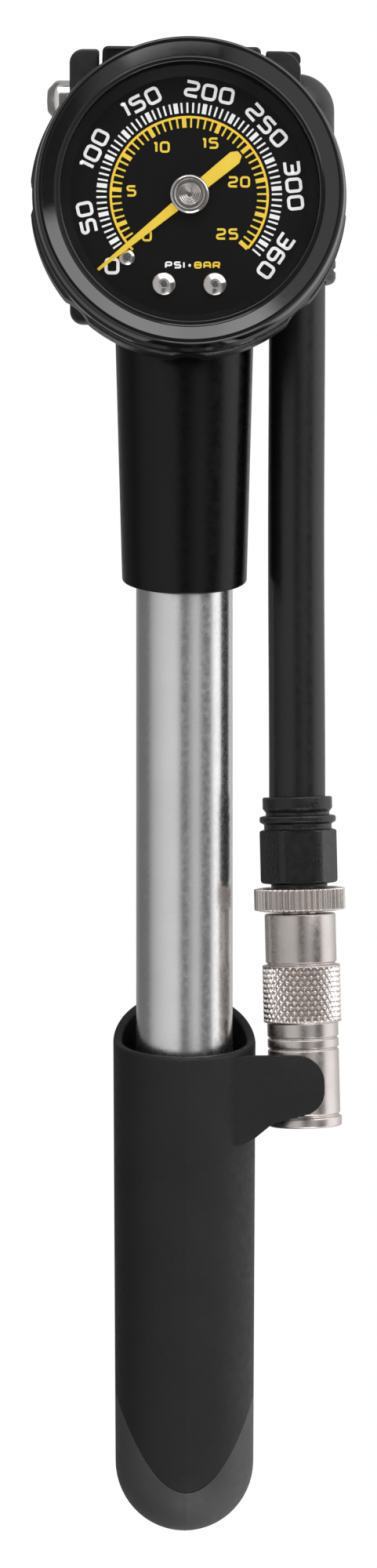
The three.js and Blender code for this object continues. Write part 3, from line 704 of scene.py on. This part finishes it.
def lettering(text, centre, size, turn=0.0):
    """Generic figures centred on a point. turn is clockwise, in degrees."""
    height, width, line_width, gap = size
    inner_height = height - line_width
    inner_width = width - line_width
    solids = []
    total = sum(GLYPHS[c][0] * width for c in text) + gap * height * (len(text) - 1)
    angle = -math.radians(turn)
    cos, sin = math.cos(angle), math.sin(angle)
    x = -total / 2
    for character in text:
        share, lines = GLYPHS[character]
        for line in lines:
            scaled = [
                p if p == "closed" else (
                    x + line_width / 2 + p[0] * inner_width,
                    -inner_height / 2 + p[1] * inner_height,
                )
                for p in line
            ]
            sides, closed = stroke(scaled, line_width)
            solids.append(ribbon(sides, closed, lambda p: (
                centre[0] + p.x * cos - p.y * sin,
                centre[1] + p.x * sin + p.y * cos,
            )))
        x += share * width + gap * height
    return solids


def dial():
    """The dial's plate and its print: PSI outside in white, bar inside in yellow."""
    plate = turned("dial_disc", rounded([
        (0.9, DIAL_Z - 0.47), (20.4, DIAL_Z - 0.47), (20.4, DIAL_Z), (0.9, DIAL_Z),
    ]), ALONG_Z, 144)
    fit(plate, "pump_body", "dial_black", instead_of=["dial_plate"])

    white = []
    for psi in range(20, 365, 5):
        width = PSI_TICK["bold" if psi % 25 == 0 else "fine"]
        clockwise = SCALE_ZERO + psi * DEGREES_PER_PSI
        white.append(tick(clockwise, PSI_TICK["inner"], PSI_TICK["outer"], width))
    numbers = {"50": 257.5, "100": 296, "150": 333, "200": 371, "250": 407.5, "300": 444, "360": 484.5}
    for text, clockwise in numbers.items():
        white += lettering(text, on_dial(clockwise, 15.0), PSI_FIGURES, clockwise % 360)
    white += lettering("0", on_dial(227.5, 14.95), PSI_FIGURES)
    white += lettering("PSI", (-2.15, -9.9), PSI_UNIT)
    white.append(tick_dot((0.05, -9.95), 0.2))
    fit(gathered("dial_print_white", white), "pump_body", "dial_black", PRINT_WHITE)

    yellow = []
    for half_bars in range(1, 51):
        clockwise = SCALE_ZERO + DEGREES_PER_2_5_BAR * half_bars / 5
        if not BAR_TICK["first"] <= clockwise <= BAR_TICK["last"]:
            continue
        width = BAR_TICK["bold" if half_bars % 5 == 0 else "fine"]
        yellow.append(tick(clockwise, BAR_TICK["inner"], BAR_ARC["radius"], width))
    arc = [
        on_dial(BAR_ARC["start"] + BAR_ARC["sweep"] * k / 120, BAR_ARC["radius"]) for k in range(121)
    ]
    yellow.append(ribbon(stroke_plain(arc, BAR_ARC["width"]), False, lambda p: (p.x, p.y)))
    small = {"5": (-8.27, 0.62), "10": (-3.9, 6.9), "15": (3.05, 7.5), "20": (7.1, 2.0), "25": (5.4, -5.45)}
    for text, centre in small.items():
        yellow += lettering(text, centre, BAR_FIGURES)
    yellow += lettering("0", (-6.05, -5.75), BAR_FIGURES)
    yellow += lettering("BAR", (2.55, -9.9), BAR_UNIT)
    fit(gathered("dial_print_yellow", yellow), "pump_body", "dial_black", PRINT_YELLOW)


def tick_dot(centre, radius):
    """A round dot on the dial."""
    x, y = centre
    angles = [TAU * k / 16 for k in range(16)]
    return prism([(x + radius * math.cos(angle), y + radius * math.sin(angle)) for angle in angles], *PRINT)


def stroke_plain(path, width):
    """The two sides of a ribbon along a smooth open line."""
    points = [Vector(p) for p in path]
    sides = []
    for i, here in enumerate(points):
        way = (points[min(i + 1, len(points) - 1)] - points[max(i - 1, 0)]).normalized()
        across = Vector((-way.y, way.x)) * (width / 2)
        sides.append((here - across, here + across))
    return sides


def dial_screws():
    """The two screws of the dial and the cross-slotted stop of the pointer."""
    for name, node in (("left_dial_screw", "dial_screw_left"), ("right_dial_screw", "dial_screw_right")):
        x, y, _ = middle_mm(node)
        screw = turned(name, rounded([
            (0, 30.3), (0.6, 30.3), (0.6, DIAL_Z + 0.02), (1.75, DIAL_Z + 0.02, 0.1), (1.72, 33.0, 0.4),
            (0.62, 33.42, 0.12), (0.55, 32.8), (0, 32.8),
        ], 6), Matrix.Translation((x, y, 0)) @ ALONG_Z, 48, shape=hexagon_below(0.7))
        fit(screw, "pump_body", "steel", POLISHED, [node])
    x, y, _ = middle_mm("pointer_stop")
    stop = turned("stop_screw", rounded([
        (0, 30.3), (0.6, 30.3), (0.6, DIAL_Z + 0.02), (1.13, DIAL_Z + 0.02), (1.13, 32.82, 0.12),
        (0.75, 32.97, 0.05), (0.72, 33.28, 0.12), (0, 33.28),
    ], 5), Matrix.Translation((x, y, 0)) @ ALONG_Z, 40)
    for a, b in ((0.62, 0.11), (0.11, 0.62)):
        slot = slab("slot", [(-a, -b), (a, -b), (a, b), (-a, b)], 33.02, 34, 0,
                    Matrix.Translation((x, y, 0)) @ Matrix.Rotation(0.5, 4, "Z"))
        boolean(stop, slot, "DIFFERENCE")
    fit(stop, "pump_body", "steel", POLISHED, ["pointer_stop"])


POINTER_REST = 230.5


def pointer():
    """The hand at its clock angle in degrees at rest, and its turned hub."""
    place = Matrix.Rotation(-math.radians(POINTER_REST), 4, "Z")
    hand = slab("hand", rounded([
        (-0.2, 16.9, 0.05), (-0.55, 7.5), (-0.82, 0), (-1.0, -7.6), (-1.0, -8.4, 0.3), (-0.45, -9.3, 0.3),
        (0.45, -9.3, 0.3), (1.0, -8.4, 0.3), (1.0, -7.6), (0.82, 0), (0.55, 7.5), (0.2, 16.9, 0.05),
    ], 3), 33.05, 33.27, 0.05, place)
    fit(hand, "pointer_shaft", "pointer_yellow", instead_of=["pointer"])
    # A turned cap: a bright rim, then fine rings down to a small hole.
    rings = []
    for k in range(5):
        radius = 1.75 - k * 0.28
        rings += [(radius, 33.72), (radius - 0.1, 33.84), (radius - 0.18, 33.84), (radius - 0.24, 33.72)]
    outline = rounded([
        (0, 33.3), (2.7, 33.3), (2.8, 33.4), (2.8, 33.85, 0.2), (2.5, 34.03, 0.15), (2.15, 34.03, 0.08),
        (1.9, 33.72),
    ], 4, closed=False)
    cap = turned("hand_cap", outline + rings + [(0.3, 33.72), (0.28, 33.45), (0, 33.45)], ALONG_Z, 96)
    fit(cap, "pointer_shaft", "nickel", POLISHED, ["pointer_hub"])


# ---- bleed button -----------------------------------------------------------------------------------------

def bleed_button():
    """The domed button at the left of the head."""
    button = turned("bleed_cap", rounded([
        (0, -20.5), (1.6, -20.4, 1.0), (3.0, -19.1, 1.2), (3.0, -14.8, 0.1), (2.35, -14.8), (2.35, -18.0),
        (0, -18.0),
    ], 8), ON_BLEED, 64)
    fit(button, "bleed", "nickel", POLISHED, ["bleed_button"])


# ---- handle -----------------------------------------------------------------------------------------------

def handle_radius(along):
    """The handle's outside: a slight taper that ends in a half ball."""
    if along < HANDLE["ball"]:
        return math.sqrt(max(0, HANDLE["end"] ** 2 - (along - HANDLE["ball"]) ** 2))
    share = (along - HANDLE["ball"]) / (HANDLE["start"] - HANDLE["ball"])
    return HANDLE["end"] + (HANDLE["rim"] - HANDLE["end"]) * share


def cap_edge(angle):
    """Where the black shell gives way to the grey cap: low at the front and back, high at the sides."""
    along = CAP["tongue"]
    for _ in range(40):
        share = min(1.0, abs(handle_radius(along) * math.sin(angle)) / HANDLE["end"])
        along = 0.5 * along + 0.5 * (CAP["tongue"] + CAP["rise"] * share ** 2)
    return along


def mould_line(angle):
    """The faint raised line that the mould leaves down the front and back."""
    return 0.09 if abs(math.remainder(angle, math.pi)) < 0.001 else 0


def handle():
    """The black shell with its clip tab, and the grey cap that closes it."""
    h = HANDLE
    sides = 160
    edge = 0.45
    inside = h["bore"] + 0.15
    joint = 0.35
    rows = rim_rows(h["start"], mouth_fall, h["rim"], inside, edge, 12, -1)
    steps = 40
    for k in range(1, steps + 1):
        def row(angle, share=k / steps):
            foot = h["start"] - edge - mouth_fall(angle) * h["rim"]
            along = foot + (cap_edge(angle) - foot) * share
            return handle_radius(along) + mould_line(angle), along
        rows.append(row)
    rows.append(lambda angle: (handle_radius(cap_edge(angle)) - joint, cap_edge(angle) - 0.05))
    rows.append(lambda angle: (h["bore"] - 0.05, cap_edge(angle) + 3))
    rows.append(lambda angle: (inside, -150))
    shell = slanted("handle_grip", rows, sides=sides)

    clip = slab("clip", rounded([
        (6.6, -123.95), (20.4, -123.95, 3.95), (20.4, -131.9, 3.6), (15.4, -133.2, 3.0), (12.7, -133.9, 2.0),
        (10.1, -136.0, 1.0), (8.4, -136.9), (6.6, -137.2),
    ], 10), 16.32, 18.4, 0.45)
    web = slab("web", rounded([(6, 16.6), (6, 11), (9.6, 11.0, 0.5), (12.3, 16.6)], 4), 0, 2.4, 0.3,
               Matrix.Translation((0, -131.6, 0)) @ ALONG_Z)
    clip = boolean(clip, web, "UNION")
    hollow = turned("inside", [(0, -140), (9.35, -140), (9.35, -118), (0, -118)])
    clip = boolean(clip, hollow, "DIFFERENCE")
    shell = boolean(shell, clip, "UNION")
    fit(shell, "handle", "matte_black", instead_of=["handle_shell"])

    gap = 0.12
    rows = [
        lambda angle: (h["bore"] - 0.2, cap_edge(angle) + 3),
        lambda angle: (handle_radius(cap_edge(angle)) - joint, cap_edge(angle) - gap),
    ]
    steps = 24
    for k in range(steps + 1):
        def row(angle, share=k / steps):
            start = cap_edge(angle) - gap
            along = start + (h["ball"] - h["end"] - start) * math.sin(share * math.pi / 2)
            line = mould_line(angle) if share < 0.9 else 0
            return (handle_radius(along) + line if share < 1 else 0), along
        rows.append(row)
    for corner in ((0, -192.2), (5.0, -192.2), (5.0, -188.8), (7.4, -188.8)):
        rows.append(lambda angle, corner=corner: corner)
    cap = slanted("handle_cap", rows, sides=sides)
    fit(cap, "handle", "grey_plastic", instead_of=["handle_end_cap"])


# ---- hose and chuck ---------------------------------------------------------------------------------------

BOOT_FLATS_TOP = -90.8


def hexagon_above(flat):
    """A grip with six flats: the radii of the boot's lower part, cut back to a hexagon with round corners."""
    def shape(angle, radius, along):
        if radius < flat or along > BOOT_FLATS_TOP:
            return radius
        return min(radius, flat / math.cos(math.remainder(angle, TAU / 6)))
    return shape


HOSE_BOW = 0.15
BOW_TOP = -9


def hose():
    """The swivel's boot, the hose and the chuck's boot, with the neck that the boot holds."""
    upper = [(4.35, -9.0), (5.45, -9.0, 0.25), (5.75, -8.4, 0.3), (5.75, -7.6, 0.2), (5.45, -7.35, 0.1),
             (5.45, -7.0, 0.1), (5.75, -6.75, 0.2), (5.75, -5.9, 0.3), (5.5, -5.4, 0.3)]
    outside = rounded(upper, 4, closed=False)
    dome = 5.55
    steps = 16
    for k in range(steps + 1):
        angle = math.pi / 2 * k / steps
        outside.append((dome * math.cos(angle), SWIVEL_Y + dome * math.sin(angle)))
    inner = [(0, SWIVEL_Y + 4.2), (3.9, SWIVEL_Y), (3.9, 10.0), (4.35, 10.0)]
    boot = turned("swivel_boot", outside + inner, ON_HOSE, 96)
    stem = turned("stem_hole", [(0, 5), (3.15, 5), (3.15, HOSE_X), (0, HOSE_X)],
                  Matrix.Translation((0, SWIVEL_Y, AXIS_Z)) @ ALONG_X, 48)
    boot = boolean(boot, stem, "DIFFERENCE")
    fit(boot, "hose_line", "black_rubber", instead_of=["upper_boot"])

    top, bottom = 9.8, -96.0
    steps = 80
    rows = [(HOSE_R, bottom + (top - bottom) * k / steps) for k in range(steps + 1)]
    rows += [(HOSE_BORE_R, top), (HOSE_BORE_R, bottom)]
    line = turned("hose_line_rubber", rows, ON_HOSE, 64)
    for vertex in line.data.vertices:
        y = vertex.co.y / MM
        if CHUCK_TOP < y < BOW_TOP:
            vertex.co.x -= HOSE_BOW * math.sin(math.pi * (y - CHUCK_TOP) / (BOW_TOP - CHUCK_TOP)) ** 2 * MM
        if y < CHUCK_TOP:
            lean = CHUCK_TILT * min(1, (CHUCK_TOP - y) / 2)
            vertex.co.x += (CHUCK_TOP - y) * math.tan(lean) * MM
    fit(line, "hose_line", "black_rubber", HOSE_RUBBER, ["hose"])

    lower = turned("chuck_boot", rounded([
        (4.35, CHUCK_TOP), (5.2, CHUCK_TOP, 0.3), (5.2, -87.5, 0.3), (4.75, -88.1, 0.2), (4.75, -88.5, 0.1),
        (5.7, -88.7, 0.3), (5.7, -89.5, 0.3), (5.05, -89.9, 0.15), (5.05, -90.6, 0.15), (5.75, -90.85, 0.3),
        (5.75, -98.6, 0.5), (4.2, -98.8, 0.1), (4.2, -99.2), (3.5, -99.2), (3.5, -96.1), (4.4, -96.1),
    ], 5), ON_CHUCK, 144, shape=hexagon_above(5.2))
    fit(lower, "hose_line", "black_rubber", instead_of=["lower_boot"])
    neck = turned("chuck_stem", rounded([
        (1.0, -96.2), (3.35, -96.2), (3.35, -99.1, 0.1), (2.5, -99.1), (2.5, -105.3), (3.2, -105.3),
        (3.2, -120.2, 0.2), (1.5, -120.2), (1.5, -98), (1.0, -98),
    ], 3), ON_CHUCK, 64)
    fit(neck, "hose_line", "nickel", instead_of=["chuck_core"])


# Radii under "from" stay round. A crest under 1 makes the teeth broader than the gaps.
TEETH = {"count": 45, "from": 6.5, "depth": 0.45, "crest": 0.6}


def coin_edge(angle, radius, along):
    """Straight teeth round the thumb wheel's rim."""
    if radius < TEETH["from"]:
        return radius
    share = 0.5 + 0.5 * math.cos(angle * TEETH["count"])
    return radius - TEETH["depth"] * (1 - share ** TEETH["crest"])


# stretch is a diamond's length along the chuck over its width, half is half a groove as a share of that
# width, and fade is how far the pattern takes to reach its full depth at the ends of its band.
KNURL = {
    "count": 33, "radius": 5.8, "from": 5.7, "low": -119.2, "high": -111.0,
    "stretch": 1.35, "half": 0.3, "depth": 0.45, "fade": 0.25,
}


def diamond(angle, radius, along):
    """A raised diamond pattern on the chuck's grip."""
    low, high = KNURL["low"], KNURL["high"]
    if radius < KNURL["from"] or not low < along < high:
        return radius
    pitch = TAU * KNURL["radius"] / KNURL["count"]
    across = angle * KNURL["count"] / TAU
    rise = along / (KNURL["stretch"] * pitch)
    nearest = min(abs(math.remainder(across + rise, 1)), abs(math.remainder(across - rise, 1)))
    groove = 1 - min(1.0, nearest / KNURL["half"])
    fade = min(1.0, (high - along) / KNURL["fade"], (along - low) / KNURL["fade"])
    return radius - KNURL["depth"] * groove * fade


def chuck():
    """The thumb wheel and the knurled sleeve."""
    wheel = turned("adjuster_wheel", finely(rounded([
        (2.8, -102.85), (5.6, -102.85, 0.1), (5.9, -102.8, 0.1), (6.8, -102.65, 0.22), (6.8, -99.5, 0.22),
        (5.9, -99.35, 0.1), (5.6, -99.3, 0.1), (2.8, -99.3), (2.8, -99.95), (3.7, -99.95), (3.7, -102.5),
        (2.8, -102.5),
    ], 3), 0.8), ON_CHUCK, TEETH["count"] * 12, shape=coin_edge, sharp=50)
    fit(wheel, "wheel", "nickel", instead_of=["thumb_wheel"])

    outline = rounded([
        (2.8, -105.0), (2.8, -103.2), (5.3, -103.2, 0.3), (5.3, -110.4, 0.2), (5.05, -110.55, 0.1),
        (5.05, -110.75, 0.1), (5.8, -110.9, 0.12), (5.8, -119.3, 0.12), (5.3, -119.5, 0.1),
        (5.3, -121.45, 0.12), (5.0, -121.7, 0.08), (5.3, -121.95, 0.12), (5.3, -123.05, 0.12),
        (5.0, -123.3, 0.08), (5.3, -123.55, 0.12), (5.3, -132.9, 0.3), (5.05, -133.15, 0.1),
        (5.05, -133.3, 0.1), (5.5, -133.5, 0.2), (5.5, -134.9, 0.3), (4.25, -134.9, 0.1), (4.0, -134.6, 0.1),
        (4.0, -120), (3.5, -120), (3.5, -105.0),
    ], 3)
    grip = []
    count = len(outline)
    for i, (r0, y0) in enumerate(outline):
        r1, y1 = outline[(i + 1) % count]
        knurled = abs(y1 - y0) > 7 and r0 > KNURL["from"]
        steps = 96 if knurled else 1
        grip += [(r0 + (r1 - r0) * k / steps, y0 + (y1 - y0) * k / steps) for k in range(steps)]
    sleeve = turned("chuck_collar", grip, ON_CHUCK, KNURL["count"] * 8, shape=diamond, sharp=40)
    fit(sleeve, "sleeve", "nickel", instead_of=["chuck_sleeve"])


# ---- studio -----------------------------------------------------------------------------------------------

# Light from each direction round the pump's axis: degrees from straight up towards +X, and brightness.
SURROUND = [
    (-180, 0.35), (-135, 0.14), (-100, 0.20), (-75, 0.50), (-45, 0.66), (-20, 0.70), (-13, 0.52),
    (-9, 0.13), (4, 0.13), (12, 0.36), (27, 0.62), (34, 0.50), (41, 0.14), (60, 0.11), (66, 0.35),
    (72, 1.15), (110, 1.35), (135, 1.3), (160, 0.9), (180, 0.35),
]

# Bearings of the boxes beyond the ends, in degrees from +Y towards +X, and the heights they span, as sines.
END_BOXES = [
    (-180, 1), (-171, 1), (-166, 0), (-30, 0), (-22, 1), (64, 1), (70, 0), (141, 0), (147, 1), (180, 1),
]
END_BOX_HEIGHTS = [(0.28, 0), (0.36, 1), (0.74, 1), (0.82, 0)]
END_BOX_LIGHT = 2.6


def stepped(tree, value, stops):
    """A ramp of (position, level) stops over a value from 0 to 1."""
    ramp = tree.nodes.new("ShaderNodeValToRGB")
    elements = ramp.color_ramp.elements
    while len(elements) < len(stops):
        elements.new(0.5)
    for element, (position, level) in zip(elements, stops):
        element.position = position
        element.color = grey(level)
    tree.links.new(value, ramp.inputs["Fac"])
    return ramp.outputs["Color"]


def worked(tree, kind, operation, first, second):
    """A node of arithmetic on two inputs, each an output to link or a number."""
    node = tree.nodes.new(kind)
    node.operation = operation
    inputs = (node.inputs[0], node.inputs["Scale" if operation == "SCALE" else 1])
    for value, socket in zip((first, second), inputs):
        if isinstance(value, (int, float)):
            socket.default_value = value
        else:
            tree.links.new(value, socket)
    return node.outputs[0]


def stepped_round(tree, across, ahead, stops):
    """A ramp over the angle between two directions, with its stops at degrees from -180 to 180."""
    angle = worked(tree, "ShaderNodeMath", "ARCTAN2", across, ahead)
    share = tree.nodes.new("ShaderNodeMapRange")
    share.inputs["From Min"].default_value = -math.pi
    share.inputs["From Max"].default_value = math.pi
    tree.links.new(angle, share.inputs["Value"])
    shares = [((degrees + 180) / 360, level) for degrees, level in stops]
    return stepped(tree, share.outputs["Result"], shares)


def to_camera(tree, light, seen):
    """A shader that gives one output as light and the other to what the camera sees directly."""
    path = tree.nodes.new("ShaderNodeLightPath")
    mix = tree.nodes.new("ShaderNodeMixShader")
    tree.links.new(path.outputs["Is Camera Ray"], mix.inputs["Fac"])
    tree.links.new(light, mix.inputs[1])
    tree.links.new(seen, mix.inputs[2])
    return mix.outputs[0]


def surround():
    """A soft studio as the world's light: wide boxes at the left and right that run along the pump."""
    world = bpy.data.worlds.new("studio")
    bpy.context.scene.world = world
    world.use_nodes = True
    tree = world.node_tree
    tree.nodes.clear()
    link = tree.links.new
    way = tree.nodes.new("ShaderNodeTexCoord")
    split = tree.nodes.new("ShaderNodeSeparateXYZ")
    link(way.outputs["Generated"], split.inputs[0])
    x, y, z = split.outputs
    brightest = max(level for _, level in SURROUND)
    around = stepped_round(tree, x, z, [(degrees, level / brightest) for degrees, level in SURROUND])
    scaled = worked(tree, "ShaderNodeVectorMath", "SCALE", around, brightest)
    # Two brighter boxes beyond the ends of the pump, half way down to the horizon.
    ends = stepped_round(tree, x, y, END_BOXES)
    height = stepped(tree, z, END_BOX_HEIGHTS)
    boxes = worked(tree, "ShaderNodeMath", "MULTIPLY", ends, height)
    boxes = worked(tree, "ShaderNodeMath", "MULTIPLY", boxes, END_BOX_LIGHT)
    light = tree.nodes.new("ShaderNodeBackground")
    link(worked(tree, "ShaderNodeVectorMath", "ADD", scaled, boxes), light.inputs["Color"])
    seen = tree.nodes.new("ShaderNodeBackground")
    seen.inputs["Color"].default_value = grey(1)
    output = tree.nodes.new("ShaderNodeOutputWorld")
    link(to_camera(tree, light.outputs[0], seen.outputs[0]), output.inputs["Surface"])


FLOOR_Z = -155.0
FLOOR_HALF_WIDTH_M = 3.0
# The floor's light at two places along X, in metres. Between them it changes evenly.
FLOOR_LIGHT = {"left": -0.16, "right": 0.50, "dim": 0.16, "bright": 1.2}


def floor():
    """A floor lit from below like a light table, under the reach of the hose when it is folded out.

    The camera sees it as even white. The pump's underside sees it brighter at the right than at the left.
    """
    size = FLOOR_HALF_WIDTH_M
    mesh = bpy.data.meshes.new("floor")
    corners = [(-size, -size, 0), (size, -size, 0), (size, size, 0), (-size, size, 0)]
    mesh.from_pydata(corners, [], [(0, 1, 2, 3)])
    plane = bpy.data.objects.new("floor", mesh)
    plane.location.z = FLOOR_Z * MM
    bpy.context.collection.objects.link(plane)
    material = bpy.data.materials.new("floor_white")
    material.use_nodes = True
    tree = material.node_tree
    tree.nodes.clear()
    link = tree.links.new
    seen = tree.nodes.new("ShaderNodeEmission")
    seen.inputs["Strength"].default_value = 1.0
    place = tree.nodes.new("ShaderNodeNewGeometry")
    split = tree.nodes.new("ShaderNodeSeparateXYZ")
    link(place.outputs["Position"], split.inputs[0])
    ramp = tree.nodes.new("ShaderNodeMapRange")
    ramp.inputs["From Min"].default_value = FLOOR_LIGHT["left"]
    ramp.inputs["From Max"].default_value = FLOOR_LIGHT["right"]
    ramp.inputs["To Min"].default_value = FLOOR_LIGHT["dim"]
    ramp.inputs["To Max"].default_value = FLOOR_LIGHT["bright"]
    link(split.outputs["X"], ramp.inputs["Value"])
    light = tree.nodes.new("ShaderNodeEmission")
    link(ramp.outputs["Result"], light.inputs["Strength"])
    output = tree.nodes.new("ShaderNodeOutputMaterial")
    link(to_camera(tree, light.outputs[0], seen.outputs[0]), output.inputs["Surface"])
    mesh.materials.append(material)


CAMERA_DISTANCE = 490.0
CAMERA_CENTRE = (0.61, -83.9)
CAMERA_LEAN = math.radians(1.9)
FRAME_HEIGHT = 234.0


def camera():
    """Above the middle of the pump, leaning a touch to the left of its axis."""
    data = bpy.data.cameras.new("camera")
    data.sensor_width = 36
    data.lens = data.sensor_width * CAMERA_DISTANCE / FRAME_HEIGHT
    data.clip_start = 0.01
    eye = bpy.data.objects.new("camera", data)
    away = Vector((-math.sin(CAMERA_LEAN), 0, math.cos(CAMERA_LEAN))) * CAMERA_DISTANCE
    eye.location = (Vector((*CAMERA_CENTRE, AXIS_Z)) + away) * MM
    eye.rotation_euler = (0, -CAMERA_LEAN, 0)
    bpy.context.collection.objects.link(eye)
    bpy.context.scene.camera = eye


camera()
surround()
floor()
bpy.context.scene.view_settings.view_transform = "Standard"

head()
upper_sleeve()
barrel()
gauge_housing()
dial()
dial_screws()
pointer()
bleed_button()
handle()
hose()
chuck()
